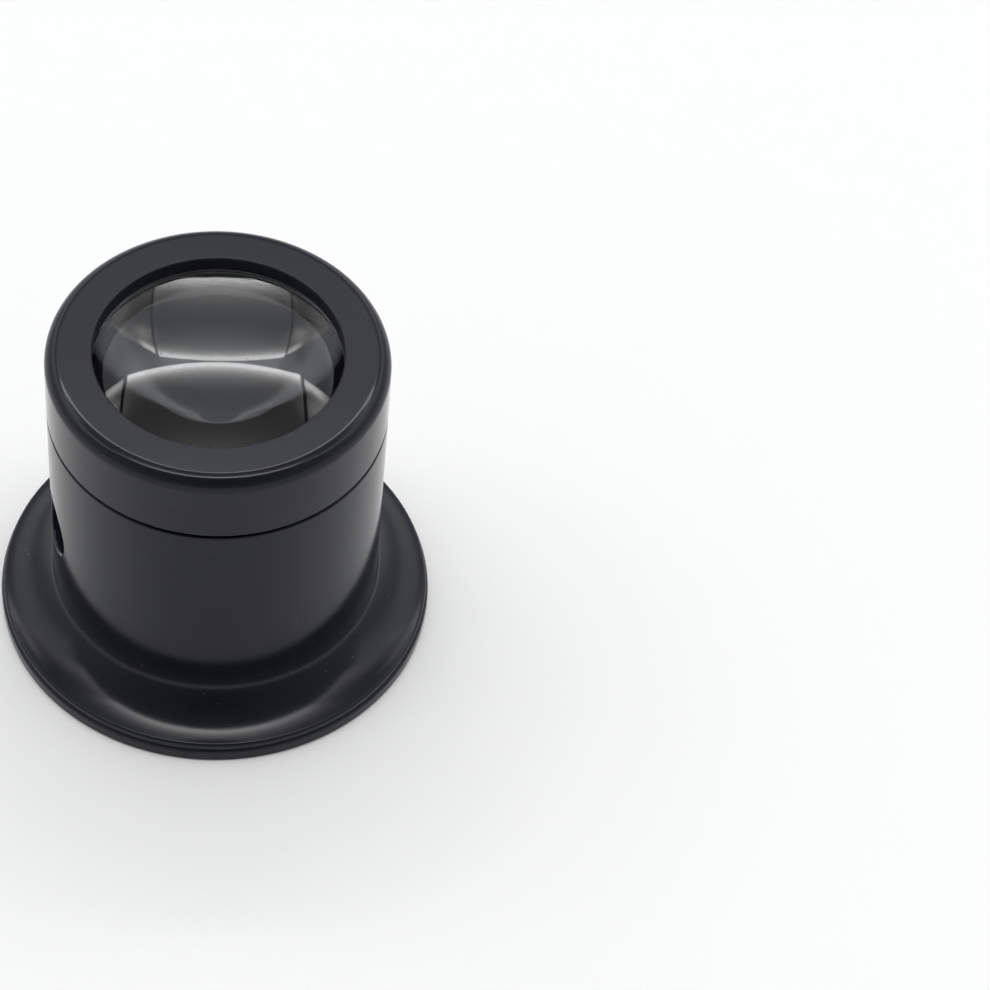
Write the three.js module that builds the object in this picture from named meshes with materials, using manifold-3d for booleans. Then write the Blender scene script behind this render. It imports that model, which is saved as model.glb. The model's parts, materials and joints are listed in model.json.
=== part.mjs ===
// A watchmaker's eye loupe that stands on its eye cup, with its optical axis along +Z.
// Lengths are in millimetres. The origin is the centre of the rim's flat underside.
//
// From the eye to the work: a flared eye cup, a barrel with two vent holes, and a lens head
// that screws into the barrel. The head holds one biconvex lens against its front lip, with a
// flat washer in front of the glass and a slotted retaining ring behind it.

import * as THREE from 'three';
import { mergeVertices } from 'three/addons/utils/BufferGeometryUtils.js';
import Module from 'manifold-3d';

const wasm = await Module();
wasm.setup();

// Clearances and general values
const fitGap = 0.3;             // radial gap between a spigot and its bore
const seamGap = 0.3;            // open joint between the head and the barrel
const edgeBreak = 0.15;         // small chamfer on turned edges
const leadIn = 0.3;             // larger chamfer where a spigot enters a bore
const cutOverrun = 2;           // how far a cutting tool runs past the face that it opens
const weldDistance = 0.00001;   // points closer than this are one point

// Barrel
const barrelDiameter = 34;
const barrelLength = 23.85;
const barrelWall = 2.2;
const threadWall = 1.6;         // wall that is left round the head's thread
const socketWall = 1.4;         // wall that is left round the cup's neck
const ventDiameter = 7;
const ventHeight = 9.75;        // centre of the vent holes above the barrel's lower end
const ventChamfer = 0.25;
const ventCount = 2;

// Eye cup
const rimDiameter = 45.2;
const rimBandHeight = 1.6;      // height of the outer band of the rim
const rimEdgeRadius = 0.45;
const rimSeatWidth = 1.7;       // width of the flat ring that the loupe stands on
const cupLipInset = 0.25;       // from the rim's outer face in to the small lip above its band
const cupLipHeight = 0.7;
const cupLipEdgeRadius = 0.35;
const cupHeight = 5.65;         // from the rim's underside to the shoulder under the barrel
const cupWall = 1.8;
const rootFillet = 1.3;         // tight radius where the flare leaves the barrel
const flareRadius = 9.5;        // wide radius of the hollow flare
const innerFlareTilt = 60;      // degrees from level at which the inner face runs into the neck
const neckWall = 1.3;           // wall of the neck, which is pushed up into the barrel
const neckLength = 4.4;
const beadHeight = 0.3;         // ridge round the neck that snaps into the barrel's groove
const beadWidth = 1;
const beadPlace = 2.4;          // centre of the ridge above the shoulder

// Lens head
const headHeight = 7.9;         // the part of the head that shows above the seam
const headEdgeRadius = 1.5;
const frontLipWidth = 1.78;     // how far the front lip stands in over the lens bore
const frontLipDepth = 1.6;      // from the top face to the washer
const spigotWall = 1;           // wall of the threaded spigot, whose thread is drawn plain
const spigotLength = 4.6;
const threadRelief = 0.8;       // height of the run-out groove above the thread
const threadReliefDepth = 0.3;
const threadRunOut = 0.6;       // free length below the spigot in the barrel

// Lens, washer and retaining ring
const lensFrontRadius = 41.5;
const lensRearRadius = 83;
const lensFlangeWidth = 1.2;    // flat ring round the polished faces
const lensFlangeThickness = 1.25;
const washerThickness = 0.5;
const washerWidth = 1;
const ringHeight = 2.2;
const ringWall = 1;
const slotWidth = 1.6;
const slotDepth = 0.9;
const slotCount = 2;

// Facets
const turnSteps = 64;           // facets round a turned piece
const ventSteps = 36;           // facets round a vent hole
const flareSteps = 9;
const filletSteps = 4;
const edgeSteps = 3;
const lensSteps = 7;

// Radii and levels that follow from the sizes above
const barrelRadius = barrelDiameter / 2;
const barrelBore = barrelRadius - barrelWall;
const barrelTop = cupHeight + barrelLength;
const headBottom = barrelTop + seamGap;
const headTop = headBottom + headHeight;
const threadBore = barrelRadius - threadWall;
const spigotRadius = threadBore - fitGap;
const spigotEnd = headBottom - spigotLength;
const threadBoreEnd = spigotEnd - threadRunOut;
const lensBore = spigotRadius - spigotWall;
const lensRadius = lensBore - fitGap;
const lensClear = lensRadius - lensFlangeWidth;
const aperture = lensBore - frontLipWidth;
const frontLipUnderside = headTop - frontLipDepth;
const lensFront = frontLipUnderside - washerThickness;
const lensRear = lensFront - lensFlangeThickness;
const socketRadius = barrelRadius - socketWall;
const neckRadius = socketRadius - fitGap;
const neckBore = neckRadius - neckWall;
const rimRadius = rimDiameter / 2;
const rimInner = rimRadius - rimSeatWidth;
const cupLipRadius = rimRadius - cupLipInset;
const cupLipTop = rimBandHeight + cupLipHeight;

const radians = (degrees) => THREE.MathUtils.degToRad(degrees);

// Points on a circle in the (radius, height) plane, from one angle to another, in degrees
// from the +radius direction, with both ends.
function arc(centreR, centreZ, radius, from, to, steps) {
  const points = [];
  for (let i = 0; i <= steps; i += 1) {
    const angle = radians(from + ((to - from) * i) / steps);
    points.push([centreR + radius * Math.cos(angle), centreZ + radius * Math.sin(angle)]);
  }
  return points;
}

// A turned solid about +Z. The outline is a list of [radius, height] points that runs
// anticlockwise; one that doesn't start and end on the axis is closed on itself.
function turned(outline, steps = turnSteps) {
  const points = outline.map(([r, z]) => new THREE.Vector2(r, z));
  const onAxis = outline[0][0] === 0 && outline[outline.length - 1][0] === 0;
  if (!onAxis) {
    points.push(points[0].clone());
  }
  const geometry = new THREE.LatheGeometry(points, steps);
  geometry.rotateX(Math.PI / 2);
  return closed(geometry);
}

// Keeps positions only, merges the seam and the points on the axis, and drops the empty
// triangles that a turned outline leaves there.
function closed(geometry) {
  const bare = geometry.index ? geometry : mergeVertices(geometry);
  bare.deleteAttribute('normal');
  bare.deleteAttribute('uv');
  const merged = mergeVertices(bare, weldDistance);
  const index = merged.index.array;
  const kept = [];
  for (let i = 0; i < index.length; i += 3) {
    const [a, b, c] = [index[i], index[i + 1], index[i + 2]];
    if (a !== b && b !== c && c !== a) {
      kept.push(a, b, c);
    }
  }
  merged.setIndex(kept);
  return merged;
}

function toSolid(geometry) {
  return new wasm.Manifold(new wasm.Mesh({
    numProp: 3,
    vertProperties: new Float32Array(geometry.attributes.position.array),
    triVerts: new Uint32Array(geometry.index.array),
  }));
}

function toGeometry(solid) {
  const mesh = solid.getMesh();
  const geometry = new THREE.BufferGeometry();
  geometry.setAttribute('position', new THREE.BufferAttribute(mesh.vertProperties, 3));
  geometry.setIndex(new THREE.BufferAttribute(mesh.triVerts, 1));
  return geometry;
}

function cut(geometry, tools) {
  let solid = toSolid(geometry);
  for (const tool of tools) {
    solid = solid.subtract(toSolid(tool));
  }
  return toGeometry(solid);
}

// Depth of a spherical face between its middle and a given radius
function sag(faceRadius, radius) {
  return faceRadius - Math.sqrt(faceRadius ** 2 - radius ** 2);
}

// Barrel: a plain tube. Its top is counterbored for the head's thread and its lower end for
// the cup's neck, with a groove for the neck's ridge. The local origin is its lower end.
function barrelGeometry() {
  const top = barrelLength;
  const threadEnd = threadBoreEnd - cupHeight;
  const socketEnd = neckLength + fitGap;
  const grooveRadius = socketRadius + beadHeight;
  const grooveHalf = beadWidth / 2 + fitGap;
  const tube = turned([
    [socketRadius, 0],
    [barrelRadius, 0],
    [barrelRadius, top - edgeBreak],
    [barrelRadius - edgeBreak, top],
    [threadBore + leadIn, top],
    [threadBore, top - leadIn],
    [threadBore, threadEnd],
    [barrelBore, threadEnd],
    [barrelBore, socketEnd],
    [socketRadius, socketEnd],
    [socketRadius, beadPlace + grooveHalf + beadHeight],
    [grooveRadius, beadPlace + grooveHalf],
    [grooveRadius, beadPlace - grooveHalf],
    [socketRadius, beadPlace - grooveHalf - beadHeight],
  ]);
  return cut(tube, ventTools());
}

// One tool for each vent hole: a drill from the barrel's axis outwards that widens at the
// outer wall into a small chamfer.
function ventTools() {
  const ventRadius = ventDiameter / 2;
  const tools = [];
  for (let i = 0; i < ventCount; i += 1) {
    const tool = turned([
      [0, 0],
      [ventRadius, 0],
      [ventRadius, barrelRadius - ventChamfer],
      [ventRadius + ventChamfer + cutOverrun, barrelRadius + cutOverrun],
      [0, barrelRadius + cutOverrun],
    ], ventSteps);
    tool.rotateY(Math.PI / 2);
    tool.rotateZ(Math.PI + (2 * Math.PI * i) / ventCount);
    tool.translate(0, 0, ventHeight);
    tools.push(tool);
  }
  return tools;
}

// Centre of the flare in the (radius, height) plane: the flare runs smoothly out of the root
// fillet, whose centre is given, and passes through the inner edge of the cup's lip.
function flareCentre(filletR, filletZ, lipR, lipZ) {
  const span = Math.hypot(lipR - filletR, lipZ - filletZ);
  const outR = (lipR - filletR) / span;
  const outZ = (lipZ - filletZ) / span;
  const fromFillet = flareRadius - rootFillet;
  const along = (fromFillet ** 2 - flareRadius ** 2 + span ** 2) / (2 * span);
  const across = Math.sqrt(fromFillet ** 2 - along ** 2);
  return [filletR + outR * along - outZ * across, filletZ + outZ * along + outR * across];
}

// Eye cup: a shell that leaves the barrel in a tight fillet, opens in a wide hollow flare and
// ends in a small lip and a rim band, with a fine notch where the lip's wall meets the band's
// rounded edge. The inside follows the flare one wall away.
function eyeCupGeometry() {
  const filletR = barrelRadius + rootFillet;
  const lipR = cupLipRadius - cupLipEdgeRadius;
  const [flareR, flareZ] = flareCentre(filletR, cupHeight, lipR, cupLipTop);
  const join = Math.atan2(flareR - filletR, flareZ - cupHeight);
  const endTilt = Math.asin((flareR - lipR) / flareRadius);
  const innerRadius = flareRadius + cupWall;
  const innerTop = radians(innerFlareTilt);
  const innerEnd = Math.asin((flareR - rimInner) / innerRadius);
  const notch = THREE.MathUtils.radToDeg(Math.acos(1 - cupLipInset / rimEdgeRadius));
  const tiltToAngle = (tilt) => -90 - THREE.MathUtils.radToDeg(tilt);
  const beadBase = cupHeight + beadPlace;
  return turned([
    [rimInner + edgeBreak, 0],
    [rimRadius - edgeBreak, 0],
    [rimRadius, edgeBreak],
    ...arc(rimRadius - rimEdgeRadius, rimBandHeight - rimEdgeRadius, rimEdgeRadius, 0, notch, edgeSteps),
    ...arc(lipR, cupLipTop - cupLipEdgeRadius, cupLipEdgeRadius, 0, 90, edgeSteps),
    ...arc(flareR, flareZ, flareRadius, tiltToAngle(endTilt), tiltToAngle(join), flareSteps).slice(1),
    ...arc(filletR, cupHeight, rootFillet, tiltToAngle(join), -180, filletSteps).slice(1),
    [neckRadius, cupHeight],
    [neckRadius, beadBase - beadWidth / 2 - beadHeight],
    [neckRadius + beadHeight, beadBase - beadWidth / 2],
    [neckRadius + beadHeight, beadBase + beadWidth / 2],
    [neckRadius, beadBase + beadWidth / 2 + beadHeight],
    [neckRadius, cupHeight + neckLength - leadIn],
    [neckRadius - leadIn, cupHeight + neckLength],
    [neckBore, cupHeight + neckLength],
    ...arc(flareR, flareZ, innerRadius, tiltToAngle(innerTop), tiltToAngle(innerEnd), flareSteps),
    [rimInner, edgeBreak],
  ]);
}

// Lens head: a cap with a rounded front edge and a front lip round the aperture. Its bore is
// open behind the lip, and it ends in the spigot that carries the thread.
// The local origin is its shoulder over the barrel.
function lensHeadGeometry() {
  const top = headHeight;
  const lip = frontLipUnderside - headBottom;
  const reliefRadius = spigotRadius - threadReliefDepth;
  return turned([
    [lensBore + leadIn, -spigotLength],
    [spigotRadius - leadIn, -spigotLength],
    [spigotRadius, leadIn - spigotLength],
    [spigotRadius, -threadRelief - threadReliefDepth],
    [reliefRadius, -threadRelief],
    [reliefRadius, 0],
    [barrelRadius - edgeBreak, 0],
    [barrelRadius, edgeBreak],
    ...arc(barrelRadius - headEdgeRadius, top - headEdgeRadius, headEdgeRadius, 0, 90, 2 * edgeSteps),
    [aperture + edgeBreak, top],
    [aperture, top - edgeBreak],
    [aperture, lip],
    [lensBore, lip],
    [lensBore, leadIn - spigotLength],
  ]);
}

// Lens: two convex faces and a flat flange that the washer and the retaining ring hold.
// The local origin is the rear face of the flange.
function lensGeometry() {
  const frontRise = sag(lensFrontRadius, lensClear);
  const rearRise = sag(lensRearRadius, lensClear);
  const front = [];
  const rear = [];
  for (let i = 0; i < lensSteps; i += 1) {
    const r = lensClear * (1 - i / lensSteps);
    front.push([r, lensFlangeThickness + frontRise - sag(lensFrontRadius, r)]);
    rear.push([r, sag(lensRearRadius, r) - rearRise]);
  }
  return turned([
    [0, -rearRise],
    ...rear.reverse(),
    [lensRadius - edgeBreak, 0],
    [lensRadius, edgeBreak],
    [lensRadius, lensFlangeThickness - edgeBreak],
    [lensRadius - edgeBreak, lensFlangeThickness],
    ...front,
    [0, lensFlangeThickness + frontRise],
  ]);
}

// Flat rubber washer between the lip and the lens flange
function washerGeometry() {
  return turned([
    [lensRadius - washerWidth, 0],
    [lensRadius, 0],
    [lensRadius, washerThickness],
    [lensRadius - washerWidth, washerThickness],
  ]);
}

// Retaining ring: screwed into the head behind the lens, with slots across its rear face for
// a pin spanner. The local origin is its rear face.
function retainingRingGeometry() {
  const inner = lensRadius - ringWall;
  const ring = turned([
    [inner + edgeBreak, 0],
    [lensRadius - edgeBreak, 0],
    [lensRadius, edgeBreak],
    [lensRadius, ringHeight],
    [inner, ringHeight],
    [inner, edgeBreak],
  ]);
  const slots = [];
  for (let i = 0; i < slotCount; i += 1) {
    const reach = ringWall + cutOverrun;
    const slot = new THREE.BoxGeometry(reach, slotWidth, 2 * slotDepth);
    slot.translate(inner + ringWall / 2, 0, 0);
    slot.rotateZ((2 * Math.PI * i) / slotCount);
    slots.push(closed(slot));
  }
  return cut(ring, slots);
}

// Finishes
const satinBlack = { color: 0x2b2c2f, roughness: 0.42, metalness: 0 };
const glossBlack = { color: 0x1d1d1f, roughness: 0.3, metalness: 0 };
const dullBlack = { color: 0x1a1a1b, roughness: 0.7, metalness: 0 };
const rubberBlack = { color: 0x151515, roughness: 0.9, metalness: 0 };
const clearGlass = { color: 0xeef2f2, roughness: 0.02, metalness: 0, transparent: true, opacity: 0.35 };

function piece(name, geometry, finish, height) {
  const mesh = new THREE.Mesh(geometry, new THREE.MeshStandardMaterial(finish));
  mesh.name = name;
  mesh.position.set(0, 0, height);
  return mesh;
}

// The body that stands still: the eye cup with the barrel on its shoulder
const body = new THREE.Group();
body.add(piece('eye_cup', eyeCupGeometry(), glossBlack, 0));
body.add(piece('barrel', barrelGeometry(), satinBlack, cupHeight));

// The lens head with the optics that it carries, placed above the seam
const head = new THREE.Group();
head.position.set(0, 0, headBottom);
head.add(piece('lens_head', lensHeadGeometry(), satinBlack, 0));
head.add(piece('lens_washer', washerGeometry(), rubberBlack, lensFront - headBottom));
head.add(piece('lens', lensGeometry(), clearGlass, lensRear - headBottom));
head.add(piece('retaining_ring', retainingRingGeometry(), dullBlack, lensRear - ringHeight - headBottom));

const loupe = new THREE.Group();
loupe.add(body);
loupe.add(head);

export default loupe;
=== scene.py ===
# %% [markdown]
# # A watchmaker's eye loupe
# The loupe stands on its eye cup with its axis along +Z, in metres. The construction is fixed
# before this lesson starts: the frame gives each piece's place and size, and the bodies that
# move. The lesson makes the surfaces that the eye sees, and puts each one on its body.

# %% Load the frame
import json
import math

import bpy
from mathutils import Matrix, Vector


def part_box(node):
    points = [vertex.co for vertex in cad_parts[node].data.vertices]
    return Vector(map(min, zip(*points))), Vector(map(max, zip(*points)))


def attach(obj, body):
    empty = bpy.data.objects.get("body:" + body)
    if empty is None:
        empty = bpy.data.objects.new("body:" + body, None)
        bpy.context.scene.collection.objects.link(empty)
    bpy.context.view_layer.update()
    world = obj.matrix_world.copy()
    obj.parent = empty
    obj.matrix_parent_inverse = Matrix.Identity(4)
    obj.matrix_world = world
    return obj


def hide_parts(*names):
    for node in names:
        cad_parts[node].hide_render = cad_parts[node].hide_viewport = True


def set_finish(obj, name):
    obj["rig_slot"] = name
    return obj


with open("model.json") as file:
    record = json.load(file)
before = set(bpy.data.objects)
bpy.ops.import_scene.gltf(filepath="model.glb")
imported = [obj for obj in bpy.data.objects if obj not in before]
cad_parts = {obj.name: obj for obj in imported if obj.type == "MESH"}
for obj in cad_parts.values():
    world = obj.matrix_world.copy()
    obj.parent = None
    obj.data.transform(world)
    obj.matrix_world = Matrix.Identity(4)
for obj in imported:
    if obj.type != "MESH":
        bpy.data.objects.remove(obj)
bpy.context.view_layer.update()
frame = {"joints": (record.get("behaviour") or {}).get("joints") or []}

# %% [markdown]
# The outer radii and the levels are read from the frame, so the surfaces can't drift away
# from the construction. Walls, bores and edge radii aren't in a box, so they are named here.

# %% Read the sizes of the pieces
cup_low, cup_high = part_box("eye_cup")
barrel_low, barrel_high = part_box("barrel")
head_low, head_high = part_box("lens_head")
lens_low, lens_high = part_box("lens")
washer_low, washer_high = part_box("lens_washer")
ring_low, ring_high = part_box("retaining_ring")

RIM_R = cup_high.x
BARREL_R = barrel_high.x
LENS_R = lens_high.x
SEAM_GAP = 0.0003                # the dark seam between the head and the barrel
FIT_GAP = 0.0003                 # between what is pushed or screwed together
head_shoulder = barrel_high.z + SEAM_GAP
print("levels, mm:", [round(1000 * z, 2) for z in (barrel_low.z, barrel_high.z, head_high.z)])

# %% [markdown]
# Every piece here is turned: it is an outline swept round the axis. Blender's Screw modifier
# could sweep it, but a lathe written out keeps the order of the points, which the vent holes
# need later. No moulded edge is knife sharp, so the outline rounds each corner. Two holding
# points, just outside each arc, keep the smooth shading of the arc off the flat next to it.

# %% Outlines with rounded corners
TURN_STEPS = 192                 # facets round the axis
FINE_STEP = math.radians(6)      # facets along an arc that catches the light
COARSE_STEP = math.radians(18)   # facets along an arc too small to do so
TINY_RADIUS = 0.0002             # up to this radius an arc is that small
HOLD = 0.00004                   # from the end of an arc to its holding point
CLOSE = 0.000004                 # points nearer than this lie in one place


def arc(centre, radius, start, end, step=FINE_STEP):
    """Free points on a circle in the (radius, height) plane, between two angles in degrees."""
    sweep = math.radians(end - start)
    steps = max(2, math.ceil(abs(sweep) / step))
    points = []
    for i in range(steps + 1):
        angle = math.radians(start) + sweep * i / steps
        r = centre[0] + radius * math.cos(angle)
        z = centre[1] + radius * math.sin(angle)
        points.append((r, z, 0))
    return points


def rounded(corners):
    """A closed outline. A corner is (r, z, edge radius), and a radius of 0 is a free point."""
    outline = []
    for k, (r, z, radius) in enumerate(corners):
        point = Vector((r, z))
        if radius == 0:
            outline.append(point)
            continue
        back = (Vector(corners[k - 1][:2]) - point).normalized()
        ahead = (Vector(corners[(k + 1) % len(corners)][:2]) - point).normalized()
        opening = back.angle(ahead)
        turn = math.pi - opening
        leg = radius * math.tan(turn / 2)
        centre = point + (back + ahead).normalized() * (radius / math.sin(opening / 2))
        spoke = point + back * leg - centre
        across = Vector((-spoke.y, spoke.x))
        way = math.copysign(1, back.x * ahead.y - back.y * ahead.x)
        steps = max(2, math.ceil(turn / (FINE_STEP if radius > TINY_RADIUS else COARSE_STEP)))
        outline.append(point + back * (leg + HOLD))
        for i in range(steps + 1):
            angle = -way * turn * i / steps
            outline.append(centre + spoke * math.cos(angle) + across * math.sin(angle))
        outline.append(point + ahead * (leg + HOLD))
    return outline


print("facets round the axis:", TURN_STEPS)

# %% [markdown]
# The lathe sets one ring of points for each point of the outline. A point on the axis stays a
# single point, so a lens closes in a fan and not in a bundle of empty faces.

# %% The lathe
def swept(outline, closed=True, left_out=()):
    """Points and faces of an outline turned about Z. left_out holds (row, column) cells."""
    points = []
    rows = []
    for r, z in outline:
        if r < CLOSE:
            rows.append([len(points)] * TURN_STEPS)
            points.append((0, 0, z))
            continue
        rows.append(range(len(points), len(points) + TURN_STEPS))
        for column in range(TURN_STEPS):
            angle = 2 * math.pi * column / TURN_STEPS
            points.append((r * math.cos(angle), r * math.sin(angle), z))
    faces = []
    for row in range(len(rows) if closed else len(rows) - 1):
        here, above = rows[row], rows[(row + 1) % len(rows)]
        for column in range(TURN_STEPS):
            if (row, column) in left_out:
                continue
            beside = (column + 1) % TURN_STEPS
            face = (here[column], here[beside], above[beside], above[column])
            faces.append(tuple(dict.fromkeys(face)))
    return points, faces


def solid(name, points, faces, body, slot, node=None):
    """A smooth piece that rides on a body and stands for a node. Points no face uses stay out."""
    used = sorted({i for face in faces for i in face})
    place = {old: new for new, old in enumerate(used)}
    mesh = bpy.data.meshes.new(name)
    renumbered = [tuple(place[i] for i in face) for face in faces]
    mesh.from_pydata([points[i] for i in used], [], renumbered)
    mesh.validate()
    mesh.shade_smooth()
    piece = bpy.data.objects.new(name, mesh)
    bpy.context.scene.collection.objects.link(piece)
    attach(piece, body)
    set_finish(piece, slot)
    if node:
        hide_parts(node)
    print(name, len(used), "points", len(faces), "faces")
    return piece


def turned(name, outline, body, slot, node=None, closed=True):
    """A piece that the lathe makes whole."""
    return solid(name, *swept(outline, closed), body, slot, node)


print("made the helpers swept, solid and turned")

# %% [markdown]
# ## Eye cup
# This cup is pinched between brow and cheek. It is a trumpet: a tight fillet under the barrel,
# a wide hollow flare, a small raised lip and a square rim band. It could be drawn by eye as a
# curve, but it is really three circles that touch, so their centres are worked out: the flare
# is tangent to the fillet on one side and to the lip on the other.

# %% Find where the circles of the flare touch
RIM_SEAT_WIDTH = 0.0017
RIM_BAND_HEIGHT = 0.0016
RIM_BAND_EDGE = 0.00045
CUP_LIP_INSET = 0.00025
CUP_LIP_HEIGHT = 0.0007
CUP_LIP_EDGE = 0.00035
ROOT_FILLET = 0.0013
FLARE_RADIUS = 0.0095
CUP_WALL = 0.0018


def flare_centre(fillet, lip):
    """Centre of the circle that holds the fillet inside and passes through the lip."""
    span = (lip - fillet).length
    out = (lip - fillet) / span
    reach = FLARE_RADIUS - ROOT_FILLET
    along = (reach ** 2 - FLARE_RADIUS ** 2 + span ** 2) / (2 * span)
    across = math.sqrt(reach ** 2 - along ** 2)
    return fillet + out * along + Vector((-out.y, out.x)) * across


rim_inner = RIM_R - RIM_SEAT_WIDTH
cup_lip_r = RIM_R - CUP_LIP_INSET
fillet = Vector((BARREL_R + ROOT_FILLET, barrel_low.z))
lip_corner = Vector((cup_lip_r - CUP_LIP_EDGE, RIM_BAND_HEIGHT + CUP_LIP_HEIGHT))
flare = flare_centre(fillet, lip_corner)
join_tilt = math.degrees(math.atan2(flare.x - fillet.x, flare.y - fillet.y))
lip_reach = FLARE_RADIUS + CUP_LIP_EDGE
lip_tilt = math.degrees(math.asin((flare.x - lip_corner.x) / lip_reach))
lip = Vector((lip_corner.x, flare.y - lip_reach * math.cos(math.radians(lip_tilt))))
inner_radius = FLARE_RADIUS + CUP_WALL
inner_tilt = math.degrees(math.asin((flare.x - rim_inner) / inner_radius))
print("flare: tilt", round(join_tilt, 1), "at the fillet,", round(lip_tilt, 1), "at the lip")

# %% [markdown]
# The cup's neck is pushed up into the barrel, where a small ridge snaps into a groove. The
# outline starts at the rim that the loupe stands on, climbs over the flare, goes up the neck
# and comes back down inside.

# %% Make the eye cup
RIM_SEAT_EDGE = 0.0002
CUP_NOTCH_EDGE = 0.00006
NOTCH_ROOM = 14                  # degrees of the band's edge that the notch's rounding takes up
FLARE_STEP = math.radians(1)     # facets along the flare
FILLET_STEP = math.radians(3)    # facets along the fillet
INNER_FLARE_TILT = 60
SOCKET_WALL = 0.0014
NECK_WALL = 0.0013
BEAD_HEIGHT = 0.0003
BEAD_WIDTH = 0.001
BEAD_PLACE = 0.0024
SMALL_EDGE = 0.0001
SPIGOT_EDGE = 0.0002             # on the end of what is pushed or screwed in

socket_r = BARREL_R - SOCKET_WALL
neck_r = socket_r - FIT_GAP
neck_bore = neck_r - NECK_WALL
bead_r = neck_r + BEAD_HEIGHT
bead_z = barrel_low.z + BEAD_PLACE
band_edge = Vector((RIM_R - RIM_BAND_EDGE, RIM_BAND_HEIGHT - RIM_BAND_EDGE))
notch = math.degrees(math.acos(1 - CUP_LIP_INSET / RIM_BAND_EDGE))
notch_z = band_edge.y + RIM_BAND_EDGE * math.sin(math.radians(notch))

cup_outline = rounded([
    (rim_inner, 0, RIM_SEAT_EDGE),
    (RIM_R, 0, RIM_SEAT_EDGE),
    *arc(band_edge, RIM_BAND_EDGE, 0, notch - NOTCH_ROOM),
    (cup_lip_r, notch_z, CUP_NOTCH_EDGE),
    *arc(lip, CUP_LIP_EDGE, 0, 90 - lip_tilt),
    *arc(flare, FLARE_RADIUS, -90 - lip_tilt, -90 - join_tilt, FLARE_STEP)[1:],
    *arc(fillet, ROOT_FILLET, -90 - join_tilt, -180, FILLET_STEP)[1:],
    (neck_r, barrel_low.z, CUP_NOTCH_EDGE),
    (neck_r, bead_z - BEAD_WIDTH / 2 - BEAD_HEIGHT, CUP_NOTCH_EDGE),
    (bead_r, bead_z - BEAD_WIDTH / 2, CUP_NOTCH_EDGE),
    (bead_r, bead_z + BEAD_WIDTH / 2, CUP_NOTCH_EDGE),
    (neck_r, bead_z + BEAD_WIDTH / 2 + BEAD_HEIGHT, CUP_NOTCH_EDGE),
    (neck_r, cup_high.z, SPIGOT_EDGE),
    (neck_bore, cup_high.z, SMALL_EDGE),
    *arc(flare, inner_radius, -90 - INNER_FLARE_TILT, -90 - inner_tilt, FLARE_STEP),
])
eye_cup = turned("eye_cup_shell", cup_outline, "loupe_body", "cup_black", "eye_cup")

# %% [markdown]
# ## Barrel
# A plain tube with a vent hole on each side, which lets warm air out so that the glass
# doesn't mist. A Boolean would cut the holes, but it leaves ragged faces that spoil the gloss
# of the wall. So the lathe leaves a square window of cells open, outside and inside, and the
# outline has a point at each row of cells there. The top is bored out for the thread, and the
# foot for the neck of the cup with the groove for its ridge.

# %% Draw the barrel
BARREL_WALL = 0.0022
THREAD_WALL = 0.0016
THREAD_RUN_OUT = 0.0006
THREAD_LEAD_IN = 0.0003
BARREL_EDGE = 0.00018
TIGHT_EDGE = 0.00003
VENT_RISE = 0.00975
WINDOW = 8                       # cells from the hole's middle to the window's edge

barrel_bore = BARREL_R - BARREL_WALL
thread_bore = BARREL_R - THREAD_WALL
thread_end = head_low.z - THREAD_RUN_OUT
socket_end = cup_high.z + FIT_GAP
groove_r = socket_r + BEAD_HEIGHT
groove_half = BEAD_WIDTH / 2 + FIT_GAP
vent_z = barrel_low.z + VENT_RISE
window_cell = BARREL_R * 2 * math.pi / TURN_STEPS
window_rows = [vent_z + window_cell * k for k in range(-WINDOW, WINDOW + 1)]

barrel_outline = rounded([
    (socket_r, barrel_low.z, TIGHT_EDGE),
    (BARREL_R, barrel_low.z, TIGHT_EDGE),
    *[(BARREL_R, z, 0) for z in window_rows],
    (BARREL_R, barrel_high.z, BARREL_EDGE),
    (thread_bore, barrel_high.z, THREAD_LEAD_IN),
    (thread_bore, thread_end, SMALL_EDGE),
    (barrel_bore, thread_end, SMALL_EDGE),
    *[(barrel_bore, z, 0) for z in reversed(window_rows)],
    (barrel_bore, socket_end, SMALL_EDGE),
    (socket_r, socket_end, SMALL_EDGE),
    (socket_r, bead_z + groove_half + BEAD_HEIGHT, CUP_NOTCH_EDGE),
    (groove_r, bead_z + groove_half, CUP_NOTCH_EDGE),
    (groove_r, bead_z - groove_half, CUP_NOTCH_EDGE),
    (socket_r, bead_z - groove_half - BEAD_HEIGHT, CUP_NOTCH_EDGE),
])
print("window cell, mm:", round(1000 * window_cell, 3))

# %% [markdown]
# The edge of a window is a loop of points that the lathe has already set. It is found by its
# row and column, so nothing has to be searched for or merged afterwards.

# %% Find the edges of the windows
VENT_SIDES = (0, TURN_STEPS // 2)       # columns that face +X and -X


def row_of(r, z):
    """The row of the outline that stands at a place."""
    return next(i for i, p in enumerate(barrel_outline) if abs(p.x - r) + abs(p.y - z) < CLOSE)


first_row = {
    BARREL_R: row_of(BARREL_R, window_rows[0]),
    barrel_bore: row_of(barrel_bore, window_rows[-1]),
}


def window_edge(radius, side):
    """Points round a window, anticlockwise seen from outside, from its lower right."""
    rows = [first_row[radius] + k for k in range(2 * WINDOW + 1)]
    if radius == barrel_bore:
        rows.reverse()
    columns = [(side + k) % TURN_STEPS for k in range(-WINDOW, WINDOW + 1)]
    cells = [(rows[0], column) for column in columns[:-1]]
    cells += [(row, columns[-1]) for row in rows[:-1]]
    cells += [(rows[-1], column) for column in reversed(columns[1:])]
    cells += [(row, columns[0]) for row in reversed(rows[1:])]
    return [row * TURN_STEPS + column for row, column in cells]


cells_left_out = set()
for side in VENT_SIDES:
    for start in first_row.values():
        for row in range(start, start + 2 * WINDOW):
            for k in range(-WINDOW, WINDOW):
                cells_left_out.add((row, (side + k) % TURN_STEPS))
print("cells left open:", len(cells_left_out))

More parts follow.
